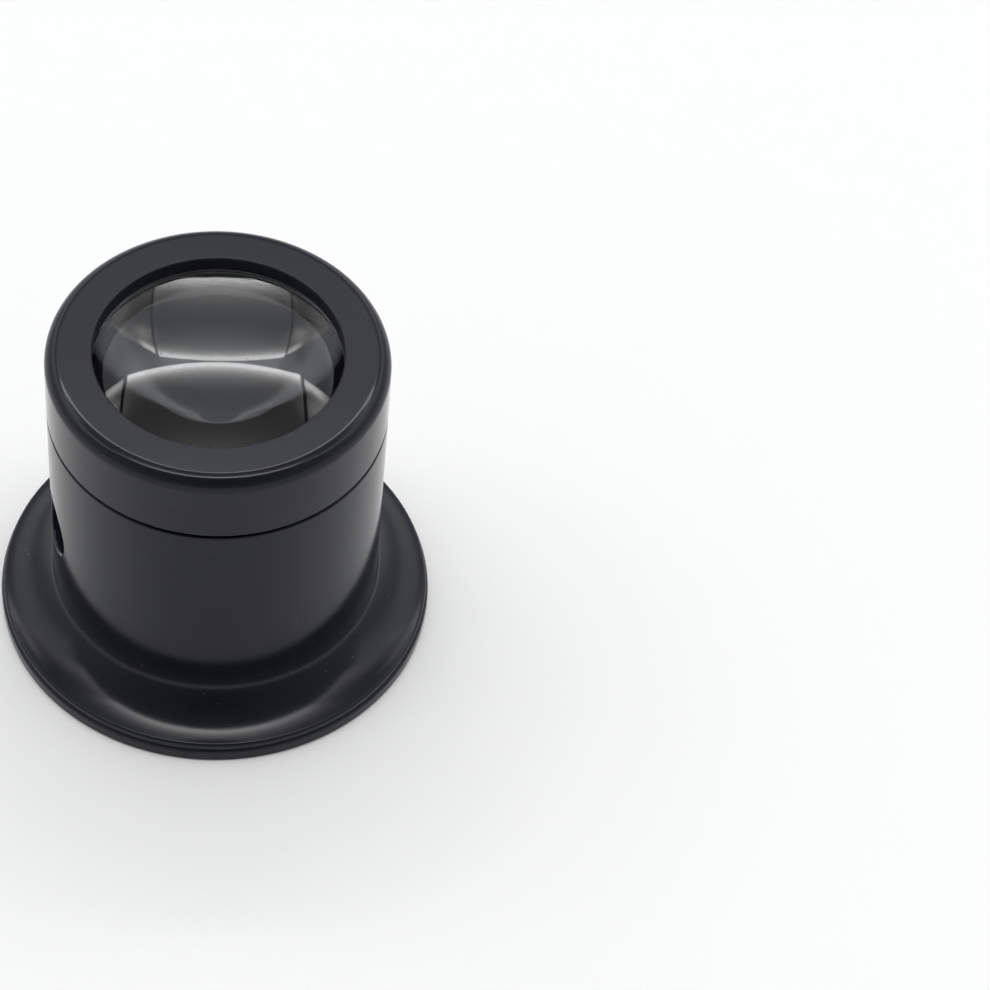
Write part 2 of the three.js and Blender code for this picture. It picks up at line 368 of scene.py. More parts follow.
# %% [markdown]
# Rows of points lead from the window's edge in to the round hole, over its rounded edge and
# through the wall. Each one is bent round the tube, so every point stays on the wall and the
# shading stays clean.

# %% Make the barrel
VENT_RADIUS = 0.0035
VENT_EDGE = 0.00025
VENT_EDGE_STEPS = 8
VENT_INNER_EDGE = 0.0001
VENT_INNER_STEPS = 3
LEAD_SHARES = (0.3, 0.6, 0.85)   # where rows stand on the way from the window to the hole


def on_wall(side, radius, across, z):
    """A point of a round wall, a little way across from the middle of a vent."""
    angle = 2 * math.pi * side / TURN_STEPS + math.asin(across / radius)
    return radius * math.cos(angle), radius * math.sin(angle), z


def vent_rings(side, edge_points):
    """Rings that lead from the outer window in to the hole, through the wall and out again."""
    middle = 2 * math.pi * side / TURN_STEPS
    spread = []
    for x, y, z in edge_points:
        across = y * math.cos(middle) - x * math.sin(middle)
        spread.append((across, z - vent_z, math.atan2(z - vent_z, across)))
    rings = []

    def ring(radius, reach, share=1.0):
        """Adds a ring this far out from the axis, share of the way in to a circle of reach."""
        row = []
        for across, up, angle in spread:
            round_place = reach * Vector((math.cos(angle), math.sin(angle)))
            flat = Vector((across, up)).lerp(round_place, share)
            row.append(on_wall(side, radius, flat.x, vent_z + flat.y))
        rings.append(row)

    for share in (*LEAD_SHARES, 1.0):
        ring(BARREL_R, VENT_RADIUS + VENT_EDGE + HOLD, share)
    for i in range(VENT_EDGE_STEPS + 1):
        turn = math.pi / 2 * i / VENT_EDGE_STEPS
        reach = VENT_RADIUS + VENT_EDGE * (1 - math.sin(turn))
        ring(BARREL_R - VENT_EDGE * (1 - math.cos(turn)), reach)
    ring(BARREL_R - VENT_EDGE - HOLD, VENT_RADIUS)
    ring(barrel_bore + VENT_INNER_EDGE + HOLD, VENT_RADIUS)
    for i in range(VENT_INNER_STEPS + 1):
        turn = math.pi / 2 * i / VENT_INNER_STEPS
        reach = VENT_RADIUS + VENT_INNER_EDGE * (1 - math.cos(turn))
        ring(barrel_bore + VENT_INNER_EDGE * (1 - math.sin(turn)), reach)
    return rings


barrel_points, barrel_faces = swept(barrel_outline, left_out=cells_left_out)
for side in VENT_SIDES:
    outer = window_edge(BARREL_R, side)
    loops = [outer]
    for row in vent_rings(side, [barrel_points[i] for i in outer]):
        loops.append(range(len(barrel_points), len(barrel_points) + len(row)))
        barrel_points.extend(row)
    loops.append(window_edge(barrel_bore, side))
    for here, further in zip(loops, loops[1:]):
        for i in range(len(outer)):
            j = (i + 1) % len(outer)
            barrel_faces.append((here[i], here[j], further[j], further[i]))
barrel = solid("barrel_tube", barrel_points, barrel_faces, "loupe_body", "barrel_black", "barrel")

# %% [markdown]
# ## Lens head
# A cap with a soft front edge, a flat ring and a straight recess round the glass. Its bore is
# open behind the front lip, and it ends in the spigot that carries the thread.

# %% Make the lens head
HEAD_EDGE = 0.0015
APERTURE_EDGE = 0.00018
FRONT_LIP_WIDTH = 0.00178
SPIGOT_WALL = 0.001
THREAD_RELIEF = 0.0008
THREAD_RELIEF_DEPTH = 0.0003

spigot_r = thread_bore - FIT_GAP
relief_r = spigot_r - THREAD_RELIEF_DEPTH
lens_bore = spigot_r - SPIGOT_WALL
aperture_r = lens_bore - FRONT_LIP_WIDTH
head_outline = rounded([
    (lens_bore, head_low.z, SPIGOT_EDGE),
    (spigot_r, head_low.z, SPIGOT_EDGE),
    (spigot_r, head_shoulder - THREAD_RELIEF - THREAD_RELIEF_DEPTH, SMALL_EDGE),
    (relief_r, head_shoulder - THREAD_RELIEF, SMALL_EDGE),
    (relief_r, head_shoulder, SMALL_EDGE),
    (BARREL_R, head_shoulder, BARREL_EDGE),
    (BARREL_R, head_high.z, HEAD_EDGE),
    (aperture_r, head_high.z, APERTURE_EDGE),
    (aperture_r, washer_high.z, SMALL_EDGE),
    (lens_bore, washer_high.z, SMALL_EDGE),
])
lens_head = turned("lens_head_cap", head_outline, "head", "head_black", "lens_head")

# %% [markdown]
# ## Screw thread
# Four turns unscrew the head, and then it stands 3 mm proud and shows its thread. The ridge
# climbs 0.75 mm a turn, which is what the joint does, so the ridges of the head and of the
# barrel stay between each other at every angle. Each ridge is a thin strip with a flat crest
# that follows a helix, and it thins out at both ends as a cut thread does.

# %% Cut the threads
RIDGE_HEIGHT = 0.00024
RIDGE_SUNK = 0.00005             # how deep the foot lies in the wall
RIDGE_STEPS = 96                 # points on one turn
RIDGE_FOOT_SHARE = 0.36          # of the pitch, half the width of the ridge at its foot
RIDGE_CREST_SHARE = 0.08         # of the pitch, half the width of its crest
THINNING_TURN = 0.25             # of a turn, over which the ends thin out
THREAD_START = 0.0006            # free length at each end of the threads
BARREL_SHIFT = 0.5               # of a turn, from the head's ridge to the barrel's

turn_joint = next(j for j in frame["joints"] if j["name"] == "head_turn")
rise_joint = next(j for j in frame["joints"] if j["name"] == "head_rise")
full_turns = math.radians(turn_joint["range_deg"][1]) / (2 * math.pi)
pitch = rise_joint["range_m"][1] / full_turns
ridge_foot = RIDGE_FOOT_SHARE * pitch
ridge_crest = RIDGE_CREST_SHARE * pitch


def thread(name, foot_r, way, low, high, shift, body, slot):
    """A helical ridge on a wall. way is 1 for a ridge that stands out and -1 for one inward."""
    count = int((high - low) / pitch * RIDGE_STEPS)
    points = []
    for i in range(count + 1):
        angle = 2 * math.pi * (i / RIDGE_STEPS + shift)
        z = low + pitch * i / RIDGE_STEPS
        crest = RIDGE_HEIGHT * min(1.0, min(i, count - i) / (THINNING_TURN * RIDGE_STEPS))
        section = ((-RIDGE_SUNK, -ridge_foot), (crest, -ridge_crest),
                   (crest, ridge_crest), (-RIDGE_SUNK, ridge_foot))
        for out, up in section:
            radius = foot_r + way * out
            points.append((radius * math.cos(angle), radius * math.sin(angle), z + up))
    order = (0, 1, 2, 3) if way > 0 else (3, 2, 1, 0)
    faces = [order, tuple(4 * count + k for k in reversed(order))]
    for i in range(count):
        for k in range(4):
            a = order[k]
            b = order[(k + 1) % 4]
            faces.append((4 * i + a, 4 * i + 4 + a, 4 * i + 4 + b, 4 * i + b))
    return solid(name, points, faces, body, slot)


thread_low = head_low.z + THREAD_START
head_thread = thread("head_thread", spigot_r, 1, thread_low,
                     head_shoulder - THREAD_RELIEF - THREAD_START, 0, "head", "head_black")
barrel_thread = thread("barrel_thread", thread_bore, -1, thread_low,
                       barrel_high.z - THREAD_START, BARREL_SHIFT, "loupe_body", "barrel_black")
print("thread pitch, mm:", round(1000 * pitch, 4))

# %% [markdown]
# ## Lens
# The glass is one double convex lens. Each polished face is part of a sphere, and both end at
# a flat flange. A subdivided sphere cut to size would do, but rings worked out from the radius
# keep the mirrored lines in the glass smooth.

# %% Make the lens
LENS_FRONT_RADIUS = 0.0415
LENS_REAR_RADIUS = 0.083
LENS_FLANGE_WIDTH = 0.0012
LENS_EDGE = 0.00015
LENS_STEPS = 48

lens_clear = LENS_R - LENS_FLANGE_WIDTH
flange_front = washer_low.z
flange_rear = ring_high.z


def sag(face_radius, r):
    """How far a spherical face falls away at a distance from the axis."""
    return face_radius - math.sqrt(face_radius ** 2 - r ** 2)


inward = [lens_clear * (1 - i / LENS_STEPS) for i in range(LENS_STEPS + 1)]
front_top = flange_front + sag(LENS_FRONT_RADIUS, lens_clear)
rear_top = flange_rear - sag(LENS_REAR_RADIUS, lens_clear)
lens_outline = rounded([
    *[(r, rear_top + sag(LENS_REAR_RADIUS, r), 0) for r in reversed(inward)],
    (LENS_R, flange_rear, LENS_EDGE),
    (LENS_R, flange_front, LENS_EDGE),
    *[(r, front_top - sag(LENS_FRONT_RADIUS, r), 0) for r in inward],
])
lens = turned("lens_glass", lens_outline, "optic", "lens_glass", "lens", closed=False)
print("lens thickness, mm:", round(1000 * (lens_high.z - lens_low.z), 2))

# %% [markdown]
# ## Washer and retaining ring
# A thin rubber washer parts the lens from the front lip, and a ring screwed in from behind
# holds it. Both have the same simple section, so one helper draws them.

# %% Make the washer, and turn the ring
WASHER_WIDTH = 0.001
RING_WALL = 0.001


def flat_ring(width, low, high):
    """Outline of a ring as wide as the lens, with small edges."""
    inner = LENS_R - width
    return rounded([(r, z, SMALL_EDGE) for r, z in
                    ((inner, low), (LENS_R, low), (LENS_R, high), (inner, high))])


washer = turned("lens_washer_ring", flat_ring(WASHER_WIDTH, washer_low.z, washer_high.z),
                "optic", "washer_rubber", "lens_washer")
ring_points, ring_faces = swept(flat_ring(RING_WALL, ring_low.z, ring_high.z))
print("uncut ring:", len(ring_points), "points")

# %% [markdown]
# The ring is screwed in with a forked key, so two slots cross its rear face. This is the one
# cut that a Boolean does well: the ring is dull, so the longer faces that it leaves don't
# show. A fine bevel takes the edge off the slots.

# %% Cut the slots of the retaining ring
SLOT_WIDTH = 0.0016
SLOT_DEPTH = 0.0009
SLOT_BEVEL = 0.00005
SHARP_ANGLE = math.radians(35)


def block(x, half_x, half_y, low, high):
    """A box, as eight points and six faces that look outward."""
    corners = ((-1, -1), (1, -1), (1, 1), (-1, 1))
    points = [(x + i * half_x, j * half_y, z) for z in (low, high) for i, j in corners]
    faces = [(3, 2, 1, 0), (4, 5, 6, 7)]
    faces += [(k, (k + 1) % 4, (k + 1) % 4 + 4, k + 4) for k in range(4)]
    return points, faces


def bare(name, points, faces):
    """A plain object with no body and no slot."""
    mesh = bpy.data.meshes.new(name)
    mesh.from_pydata(points, [], faces)
    piece = bpy.data.objects.new(name, mesh)
    bpy.context.scene.collection.objects.link(piece)
    return piece


uncut = bare("uncut_ring", ring_points, ring_faces)
cutter_points = []
cutter_faces = []
for way in (1, -1):
    points, faces = block(way * (LENS_R - RING_WALL / 2), RING_WALL, SLOT_WIDTH / 2,
                          ring_low.z - SLOT_DEPTH, ring_low.z + SLOT_DEPTH)
    cutter_faces += [tuple(len(cutter_points) + i for i in face) for face in faces]
    cutter_points += points
cutter = bare("slot_cutter", cutter_points, cutter_faces)
slots = uncut.modifiers.new("slots", "BOOLEAN")
slots.object = cutter
bevel = uncut.modifiers.new("bevel", "BEVEL")
bevel.width = SLOT_BEVEL
bevel.angle_limit = SHARP_ANGLE
cut = uncut.evaluated_get(bpy.context.evaluated_depsgraph_get()).to_mesh()
retaining_ring = solid("slotted_ring", [tuple(v.co) for v in cut.vertices],
                       [tuple(face.vertices) for face in cut.polygons],
                       "head", "ring_black", "retaining_ring")
retaining_ring.data.set_sharp_from_angle(angle=SHARP_ANGLE)
for spare in (uncut, cutter):
    bpy.data.objects.remove(spare)

# %% [markdown]
# ## Shader maths
# A shader is arithmetic, so it is written as arithmetic. A Wire is one output of a node, and
# adding or multiplying wires adds Math nodes. Every other node comes from one method of the
# Board, which sets the node's own settings first and then its sockets.

# %% Wires and boards
class Wire:
    """One output of a node."""

    def __init__(self, board, socket):
        self.board = board
        self.socket = socket

    def __add__(self, other):
        return self.board.maths("ADD", self, other)

    def __sub__(self, other):
        return self.board.maths("SUBTRACT", self, other)

    def __rsub__(self, other):
        return self.board.maths("SUBTRACT", other, self)

    def __mul__(self, other):
        return self.board.maths("MULTIPLY", self, other)

    def __truediv__(self, other):
        return self.board.maths("DIVIDE", self, other)

    def __rtruediv__(self, other):
        return self.board.maths("DIVIDE", other, self)

    __radd__ = __add__
    __rmul__ = __mul__


class Board:
    """The nodes of one material or of the world."""

    def __init__(self, tree):
        self.tree = tree
        tree.nodes.clear()

    def add(self, kind, settings=None, sockets=None):
        """Adds a node and returns its outputs as wires, by name and by number."""
        node = self.tree.nodes.new(kind)
        for name, value in (settings or {}).items():
            setattr(node, name, value)
        for name, value in (sockets or {}).items():
            if isinstance(value, Wire):
                self.tree.links.new(value.socket, node.inputs[name])
            else:
                node.inputs[name].default_value = value
        wires = {i: Wire(self, socket) for i, socket in enumerate(node.outputs)}
        wires.update({socket.name: Wire(self, socket) for socket in node.outputs if socket.enabled})
        return wires

    def maths(self, operation, *values):
        """One Math node."""
        return self.add("ShaderNodeMath", {"operation": operation}, dict(enumerate(values)))[0]

    def smooth(self, value, low, high):
        """0 below low, 1 above high, and a soft step between them."""
        settings = {"interpolation_type": "SMOOTHSTEP"}
        sockets = {"Value": value, "From Min": low, "From Max": high}
        return self.add("ShaderNodeMapRange", settings, sockets)[0]

    def clamped(self, value):
        """The value kept between 0 and 1."""
        return self.add("ShaderNodeClamp", None, {"Value": value})[0]

    def mix(self, factor, first, second):
        """A blend of two colours."""
        settings = {"data_type": "RGBA"}
        return self.add("ShaderNodeMix", settings, {0: factor, 6: first, 7: second})[2]

    def noise(self, place, scale, detail=2.0, roughness=0.5):
        """Cloudy noise round one half, with scale cells to the metre."""
        sockets = {"Vector": place, "Scale": scale, "Detail": detail, "Roughness": roughness}
        return self.add("ShaderNodeTexNoise", {"noise_dimensions": "3D"}, sockets)["Fac"]


def blend(share, first, second):
    """The first value where share is 0, and the second where it is 1."""
    return first + share * (second - first)


print("made the helpers Wire, Board and blend")

# %% [markdown]
# ## Black plastic
# The parts are moulded in black. What tells them apart is the gloss: the cup is polished in
# the mould, and the barrel and the head are satin. A fine grain in the bump breaks up the
# reflections, the roughness drifts over the surface as it does where fingers have been, and a
# few grains of dust lie on it.

# %% Describe black plastic
DRIFT = (140.0, 3.0)             # cells to the metre and detail of the slow drift of the gloss
SMUDGE = (480.0, 5.0, 0.65)      # the same for smudges, and how rough they are
DUST = (2600.0, 1.0)             # the same for dust
DUST_GRAINS = (0.8, 0.84)        # noise above this is a grain
DUST_GREY = (0.12, 0.12, 0.11, 1)
DRIFT_ROUGH = 0.06
SMUDGE_ROUGH = 0.04
DUST_ROUGH = 0.2
DULL_ROUGH = 0.75                # of the surfaces inside
DULL_BLUR = 0.0001
BLACK = (0.0085, 0.0095, 0.0135)
DARKER_SHARE = 0.85
LIGHTER_SHARE = 1.15
GRAIN_DETAIL = 3.0
FINER = 3                        # times the grain, for a finer one laid over it
FINER_SHARE = 0.4                # how strong the finer one is


def shaded(colour, share):
    """A darker or lighter colour, with full alpha."""
    return (*[share * c for c in colour], 1)


def from_axis(board, place):
    """Distance from the axis."""
    axes = board.add("ShaderNodeSeparateXYZ", None, {0: place})
    return board.maths("SQRT", axes["X"] * axes["X"] + axes["Y"] * axes["Y"])


def plastic(name, gloss, roughness, grain, grain_depth, inside=0.0):
    """Black plastic. What lies nearer the axis than the radius inside is left dull."""
    material = bpy.data.materials.new(name)
    material.use_nodes = True
    board = Board(material.node_tree)
    place = board.add("ShaderNodeTexCoord")["Object"]
    drift = board.noise(place, *DRIFT)
    smudge = board.noise(place, *SMUDGE)
    dust = board.smooth(board.noise(place, *DUST), *DUST_GRAINS)
    rough = roughness + DRIFT_ROUGH * (drift - 0.5) + SMUDGE_ROUGH * (smudge - 0.5)
    rough = rough + DUST_ROUGH * dust
    dull = 1 - board.smooth(from_axis(board, place), inside, inside + DULL_BLUR)
    rough = blend(dull, rough, DULL_ROUGH)
    tint = board.mix(drift, shaded(BLACK, DARKER_SHARE), shaded(BLACK, LIGHTER_SHARE))
    tint = board.mix(dust, tint, DUST_GREY)
    height = board.noise(place, grain, GRAIN_DETAIL)
    height = height + FINER_SHARE * board.noise(place, FINER * grain)
    bump = board.add("ShaderNodeBump", None, {
        "Height": height,
        "Distance": grain_depth,
        "Strength": 1.0,
    })
    shader = board.add("ShaderNodeBsdfPrincipled", None, {
        "Base Color": tint,
        "Roughness": rough,
        "Specular IOR Level": gloss,
        "Normal": bump["Normal"],
    })
    board.add("ShaderNodeOutputMaterial", None, {"Surface": shader["BSDF"]})
    return material


print("grains of dust are smaller than", round(1000 / DUST[0], 2), "mm")

# %% [markdown]
# Each black piece has its own mix of gloss, roughness and grain. The inner walls of a loupe are
# dulled so that they don't glare, which the value called inside does from a radius inward. One
# material for the wall and a second for the bore would do as well, but then the faces would
# have to be sorted.

# %% Make the plastics
MOULDED_GRAIN = 3200.0           # cells to the metre
TURNED_GRAIN = 5200.0
RUBBER_GRAIN = 4000.0
MOULDED_DEPTH = 0.0000015
TURNED_DEPTH = 0.000001
COARSE_DEPTH = 0.000006

materials = {
    "cup_black": plastic("cup_plastic", gloss=0.26, roughness=0.14, grain=MOULDED_GRAIN,
                         grain_depth=MOULDED_DEPTH, inside=neck_r),
    "barrel_black": plastic("barrel_plastic", gloss=0.2, roughness=0.14, grain=TURNED_GRAIN,
                            grain_depth=TURNED_DEPTH, inside=barrel_bore + SMALL_EDGE),
    "head_black": plastic("head_plastic", gloss=0.24, roughness=0.1, grain=TURNED_GRAIN,
                          grain_depth=TURNED_DEPTH, inside=aperture_r + SMALL_EDGE),
    "ring_black": plastic("ring_plastic", gloss=0.3, roughness=0.6, grain=TURNED_GRAIN,
                          grain_depth=COARSE_DEPTH),
    "washer_rubber": plastic("washer_rubber", gloss=0.25, roughness=0.8, grain=RUBBER_GRAIN,
                             grain_depth=COARSE_DEPTH),
}
print("plastics:", sorted(materials))

# %% [markdown]
# ## Glass
# Clear glass is one Principled shader with full transmission. Its flange and edge are ground
# and not polished: they scatter the light that reaches them and look whitish, from inside the
# glass too, so a second, frosted shader takes over outside the clear diameter. Real light is
# bent on its way through a lens. A ray that looks for a lamp isn't, so glass would cast a
# black shadow, and that kind of ray is let straight through.

# %% Make the glass
WHITE = (1, 1, 1, 1)
GLASS_IOR = 1.5
GROUND_FROM = lens_clear - 0.00002
GROUND_TO = lens_clear + 0.00004
GROUND_GRAIN = (3000.0, 3.0)
GROUND_DARK = (0.62, 0.65, 0.64, 1)
GROUND_LIGHT = (0.78, 0.8, 0.79, 1)


def glass(name):
    """Polished glass with a ground edge."""
    material = bpy.data.materials.new(name)
    material.use_nodes = True
    board = Board(material.node_tree)
    place = board.add("ShaderNodeTexCoord")["Object"]
    ground = board.smooth(from_axis(board, place), GROUND_FROM, GROUND_TO)
    polished = board.add("ShaderNodeBsdfPrincipled", None, {
        "Base Color": WHITE,
        "Roughness": 0.0,
        "IOR": GLASS_IOR,
        "Transmission Weight": 1.0,
    })
    passing = board.add("ShaderNodeBsdfTransparent")
    shadow = board.add("ShaderNodeLightPath")["Is Shadow Ray"]
    clear = board.add("ShaderNodeMixShader", None, {
        0: shadow, 1: polished["BSDF"], 2: passing["BSDF"]})
    grind = board.noise(place, *GROUND_GRAIN)
    frosted = board.add("ShaderNodeBsdfPrincipled", None, {
        "Base Color": board.mix(grind, GROUND_DARK, GROUND_LIGHT),
        "Roughness": 0.6,
        "IOR": GLASS_IOR,
        "Transmission Weight": 0.2,
    })
    whole = board.add("ShaderNodeMixShader", None, {
        0: ground, 1: clear["Shader"], 2: frosted["BSDF"]})
    board.add("ShaderNodeOutputMaterial", None, {"Surface": whole["Shader"]})
    return material


materials["lens_glass"] = glass("lens_glass")
pieces = (eye_cup, barrel, lens_head, lens, washer, retaining_ring, head_thread, barrel_thread)
for piece in pieces:
    piece.data.materials.append(materials[piece["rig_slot"]])
    print(piece.name, "is made of", piece.data.materials[0].name)

# %% [markdown]
# ## Floor
# White paper, large enough to reach the horizon. Its colour is that of real paper, and what
# the light alone would leave a light grey is lifted a little to white by an emission that only
# the camera, mirrors and glass see. So the lamps can stay at a plain level for the black parts,
# and the floor still keeps the loupe's shadow.

# %% Lay the floor
FLOOR_HALF = 3.0
FLOOR_LIFT = 0.04                # added where it is seen, so that white paper comes out near white
PAPER = (0.915, 0.905, 0.89, 1)  # a little warm, because the light from the walls is a little blue

corners = [(x * FLOOR_HALF, y * FLOOR_HALF, 0) for x, y in ((-1, -1), (1, -1), (1, 1), (-1, 1))]
floor = bare("floor", corners, [(0, 1, 2, 3)])
floor_material = bpy.data.materials.new("floor_paper")
floor_material.use_nodes = True
board = Board(floor_material.node_tree)
paper = board.add("ShaderNodeBsdfPrincipled", None, {
    "Base Color": PAPER,
    "Roughness": 0.9,
    "Specular IOR Level": 0.2,
})
rays = board.add("ShaderNodeLightPath")
seen = board.maths("MAXIMUM", rays["Is Camera Ray"], rays["Is Glossy Ray"])
seen = board.maths("MAXIMUM", seen, rays["Is Transmission Ray"])
glow = board.add("ShaderNodeEmission", None, {
    "Color": WHITE,
    "Strength": FLOOR_LIFT * seen,
})
both = board.add("ShaderNodeAddShader", None, {0: paper["BSDF"], 1: glow["Emission"]})
board.add("ShaderNodeOutputMaterial", None, {"Surface": both["Shader"]})
floor.data.materials.append(floor_material)
print("floor, m:", 2 * FLOOR_HALF, "square")

# %% [markdown]
# ## Light
# The photograph was taken in a small light tent. Its ceiling is a panel with bright strips
# along its edges, its walls are pale, and there is a dark opening where the camera looks in.
# The glass mirrors all of this twice. Area lamps could stand for the panels, but they would
# be in the way of another camera. Painting the tent on the sky by direction costs no samples
# and hides nothing. A direction is told by where it meets the ceiling, as the distance to the
# side and to the back over the ceiling's height, so straight edges stay straight.

# %% Tell the directions in the light tent
CAMERA_AZIMUTH = math.radians(-12.5)
LOWEST = 0.02                    # directions flatter than this count as this steep
CEILING_SHIFT = 0.025            # how far the ceiling stands off to one side

world = bpy.data.worlds.new("light_tent")
bpy.context.scene.world = world
world.use_nodes = True
board = Board(world.node_tree)
direction = board.add("ShaderNodeSeparateXYZ", None, {
    0: board.add("ShaderNodeTexCoord")["Generated"]})
turn_cos = math.cos(CAMERA_AZIMUTH)
turn_sin = math.sin(CAMERA_AZIMUTH)
to_side = direction["X"] * turn_cos + direction["Y"] * turn_sin
depth = direction["Y"] * turn_cos - direction["X"] * turn_sin
height = direction["Z"]
up = board.maths("MAXIMUM", height, LOWEST)
across = to_side / up + CEILING_SHIFT
sides = board.maths("ABSOLUTE", across)
along = depth / up
print("the tent opens towards azimuth", round(math.degrees(CAMERA_AZIMUTH), 1))

# %% [markdown]
# The walls grow lighter with the angle away from the opening. This is what shades a black
# barrel from dark in front to light at its sides, and so shows that it is round.

# %% Paint the opening and the walls
OPENING_TILT = math.radians(36)  # from the zenith to the middle of the opening
OPENING_CORE = 5                 # degrees from its middle that stay darkest
OPENING_EDGE = 18                # degrees from its middle to its edge
WALL_END = 100                   # degrees from its middle to full light
OPENING_LIGHT = 0.04
EDGE_LIGHT = 0.1
WALL_CURVE = 1.3                 # above 1, the walls stay dark longer near the opening

from_opening = height * math.cos(OPENING_TILT) - depth * math.sin(OPENING_TILT)
turned_away = board.maths("ARCCOSINE", from_opening) * (180 / math.pi)
walls = OPENING_LIGHT + EDGE_LIGHT * board.smooth(turned_away, OPENING_CORE, OPENING_EDGE)
on_wall_share = board.clamped((turned_away - OPENING_EDGE) / (WALL_END - OPENING_EDGE))
walls = walls + board.maths("POWER", on_wall_share, WALL_CURVE)
print("walls done:", len(world.node_tree.nodes), "nodes so far")

# %% [markdown]
# The ceiling is a middle panel between two side panels, with a dark seam at each join. The
# back edge of the side panels lies a little nearer and draws in further out. Behind it hangs
# the back wall, which is lighter high up in the middle, and the side walls glow beside it.

# %% Mark out the panels
CEILING_BACK = 0.766             # the back edge of the ceiling
BACK_STEP = 0.02                 # how much nearer it lies on the side panels
BACK_SLANT = 0.6                 # how fast it draws in there
BACK_BLUR = 0.015
SEAM_SIDE = 0.46                 # where the side panels join the middle one
SEAM_HALF = 0.01                 # half the width of the seam
SEAM_BLUR = 0.005
BACK_LIGHT = 0.6
BACK_TOP_LIGHT = 1.2
BACK_TOP = (0.55, 0.8)           # height over which the back wall grows lighter
BACK_MIDDLE = (0.4, 0.5)         # distance to the side over which that ends
BACK_LOST = 0.9                  # share of it that is gone there
GLOW = (0.57, 0.8)               # distance to the side over which the side walls' glow sets in
GLOW_END = (1.0, 2.2)            # and over which it fades
GLOW_LOST = 0.85
GLOW_FRONT = (-0.1, 0.1)         # distance to the back over which it sets in

outside = board.smooth(sides, SEAM_SIDE, SEAM_SIDE + SEAM_HALF)
beside = board.maths("MAXIMUM", sides - SEAM_SIDE, 0.0)
past_back = along - CEILING_BACK + BACK_STEP * outside + BACK_SLANT * beside
behind = board.smooth(past_back, 0.0, BACK_BLUR)
back_top = board.smooth(height, *BACK_TOP) * (1 - BACK_LOST * board.smooth(sides, *BACK_MIDDLE))
walls = blend(behind, walls, BACK_LIGHT + BACK_TOP_LIGHT * back_top)
side_glow = board.smooth(sides, *GLOW) * (1 - GLOW_LOST * board.smooth(sides, *GLOW_END))
side_glow = side_glow * board.smooth(along, *GLOW_FRONT)
walls = walls + side_glow
seam = board.smooth(sides, SEAM_SIDE - SEAM_HALF - SEAM_BLUR, SEAM_SIDE - SEAM_HALF + SEAM_BLUR)
seam = seam - board.smooth(sides, SEAM_SIDE + SEAM_HALF - SEAM_BLUR,
                           SEAM_SIDE + SEAM_HALF + SEAM_BLUR)
print("panels done:", len(world.node_tree.nodes), "nodes so far")

# %% [markdown]
# The strips are the brightest things in the tent. They lie along the edges of the ceiling and
# make the lit lines in the glass and on the edges of the plastic. An exponential gives a strip
# that falls off on one side, and a bell curve one that falls off on both. Each side panel has a
# small soft lamp besides.

# %% Paint the strips and the lamps
BACK_STRIP_LIGHT = 11.5
BACK_STRIP_EDGE = 0.026          # in front of the back edge, where it starts to fall off
BACK_STRIP_WIDTH = 0.045
SIDE_STRIP_LIGHT = 5.5
SIDE_STRIP_PLACE = 0.03          # in front of the back edge
SIDE_STRIP_WIDTH = 0.04
SIDE_STRIP_END = (0.53, 0.63)    # distance to the side over which it ends
SIDE_STRIP_LOST = 0.85
RIGHT_LIGHT = 2.0                # what the right one has more
RIGHT = (0.0, 0.1)
CEILING_FRONT = -0.08            # the front edge, just past the zenith
FRONT_STRIP_LIGHT = 11.0
FRONT_STRIP_EDGE = 0.01          # behind the front edge
FRONT_STRIP_WIDTH = 0.085
RISE_MOST = 1.0                  # keeps the exponent small in flat directions to the front
FRONT_MIDDLE_SHARE = 1.1
FRONT_END_LOST = 0.4
FRONT_END = (0.12, 0.42)
FRONT_OUTSIDE_LOST = 0.65
LAMP_LIGHT = 2.5
LAMP_SIDE = 0.55
LAMP_BACK = 0.5
LAMP_SPREAD = 0.065

fall = board.maths("MINIMUM", (past_back + BACK_STRIP_EDGE) / BACK_STRIP_WIDTH, 0.0)
back_strip = BACK_STRIP_LIGHT * board.maths("EXPONENT", fall)
off_middle = (past_back + SIDE_STRIP_PLACE) / SIDE_STRIP_WIDTH
side_strip = board.maths("EXPONENT", off_middle * off_middle * -0.5)
side_strip = side_strip * (SIDE_STRIP_LIGHT + RIGHT_LIGHT * board.smooth(across, *RIGHT))
side_strip = side_strip * (1 - SIDE_STRIP_LOST * board.smooth(sides, *SIDE_STRIP_END))
back_strip = blend(outside, back_strip, side_strip)

rise = (CEILING_FRONT + FRONT_STRIP_EDGE - along) / FRONT_STRIP_WIDTH
rise = board.maths("MINIMUM", rise, RISE_MOST)
front_strip = FRONT_STRIP_LIGHT * board.maths("EXPONENT", rise)
front_strip = front_strip * (FRONT_MIDDLE_SHARE - FRONT_END_LOST * board.smooth(sides, *FRONT_END))
front_strip = front_strip * (1 - FRONT_OUTSIDE_LOST * outside)

lamp_x = sides - LAMP_SIDE
lamp_y = along - LAMP_BACK
lamp_fall = (lamp_x * lamp_x + lamp_y * lamp_y) / (-2 * LAMP_SPREAD ** 2)
lamps = LAMP_LIGHT * board.maths("EXPONENT", lamp_fall)
print("strips and lamps done:", len(world.node_tree.nodes), "nodes so far")

# %% [markdown]
# Now the ceiling is laid over the walls. Near the horizon the light is an even white, as the
# bench is all round. Where the camera looks past the floor it sees plain white, so a low
# camera has a clean background.

# %% Put the light together
PANEL_LIGHT = 0.45
PANEL_GLOW = 1.2                 # how much of the side glow the panels take on
SEAM_LOST = 0.92
CEILING_SIDE = (0.85, 1.0)       # distance to the side over which the ceiling ends
CEILING_START = (CEILING_FRONT - 0.02, CEILING_FRONT + 0.005)
HORIZON = (0.06, 0.2)            # height over which the even light ends
HORIZON_LIGHT = 0.95
WALL_TINT = (0.96, 1.0, 1.05, 1)

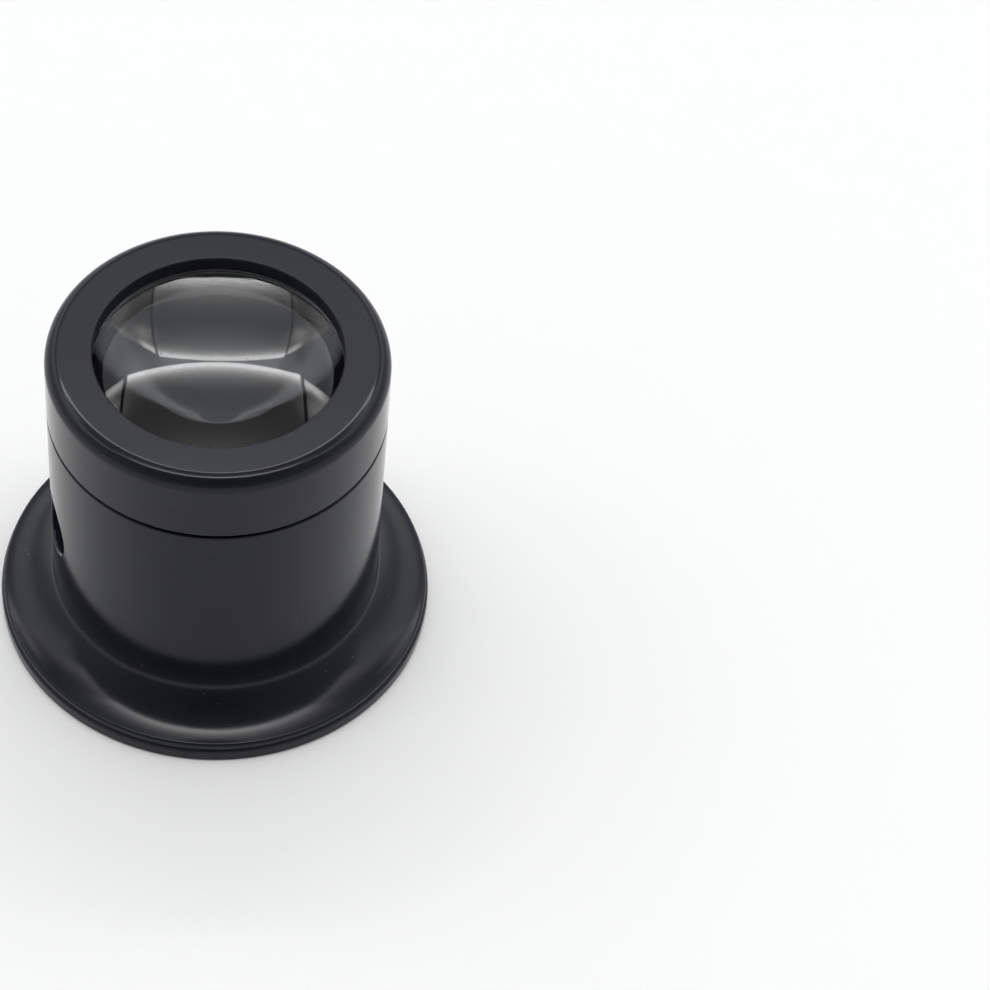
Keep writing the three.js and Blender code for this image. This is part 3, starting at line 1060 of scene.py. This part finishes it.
ceiling = PANEL_LIGHT + back_strip + front_strip + PANEL_GLOW * side_glow + lamps
ceiling = ceiling * (1 - SEAM_LOST * seam)
on_ceiling = board.smooth(along, *CEILING_START) * (1 - behind)
on_ceiling = on_ceiling * (1 - board.smooth(sides, *CEILING_SIDE))
light = blend(on_ceiling, walls, ceiling)
light = blend(1 - board.smooth(height, *HORIZON), light, HORIZON_LIGHT)
tint = board.mix(on_ceiling, WALL_TINT, WHITE)
straight_in = board.add("ShaderNodeLightPath")["Is Camera Ray"]
light = blend(straight_in, light, 1)
tint = board.mix(straight_in, tint, WHITE)
sky = board.add("ShaderNodeBackground", None, {"Color": tint, "Strength": light})
board.add("ShaderNodeOutputWorld", None, {"Surface": sky["Background"]})
print("sky done:", len(world.node_tree.nodes), "nodes")

# %% [markdown]
# ## Camera
# The camera stands where the photograph was taken from. The loupe stands left of the middle
# there, so the camera is turned a little away from it, and its lens isn't shifted. Its place
# was worked out beforehand from the ovals of the rim and the head.

# %% Place the camera
FOCAL_PIXELS = 3200
FRAME_PIXELS = 990
SENSOR = 36.0                    # mm
AIM_HEIGHT = 0.017
DISTANCE = 0.3301
ELEVATION = math.radians(50.65)
YAW = math.radians(4.963)
TILT = math.radians(0.125)
ROLL = math.radians(-0.674)

camera_data = bpy.data.cameras.new("camera")
camera_data.sensor_width = SENSOR
camera_data.lens = SENSOR * FOCAL_PIXELS / FRAME_PIXELS
camera = bpy.data.objects.new("camera", camera_data)
bpy.context.scene.collection.objects.link(camera)
level = math.cos(ELEVATION)
back = Vector((turn_sin * level, -turn_cos * level, math.sin(ELEVATION)))
right = Vector((turn_cos, turn_sin, 0))
upward = back.cross(right)
straight = Matrix((right, upward, back)).transposed()
roll = Matrix.Rotation(ROLL, 3, "Z")
yaw = Matrix.Rotation(YAW, 3, "Y")
tilt = Matrix.Rotation(TILT, 3, "X")
camera.matrix_world = (straight @ (roll @ yaw @ tilt).transposed()).to_4x4()
camera.location = Vector((0, 0, AIM_HEIGHT)) + back * DISTANCE
bpy.context.scene.camera = camera
bpy.context.scene.view_settings.view_transform = "Standard"
print("camera at, mm:", [round(1000 * c) for c in camera.location])
print("focal length, mm:", round(camera_data.lens, 1))
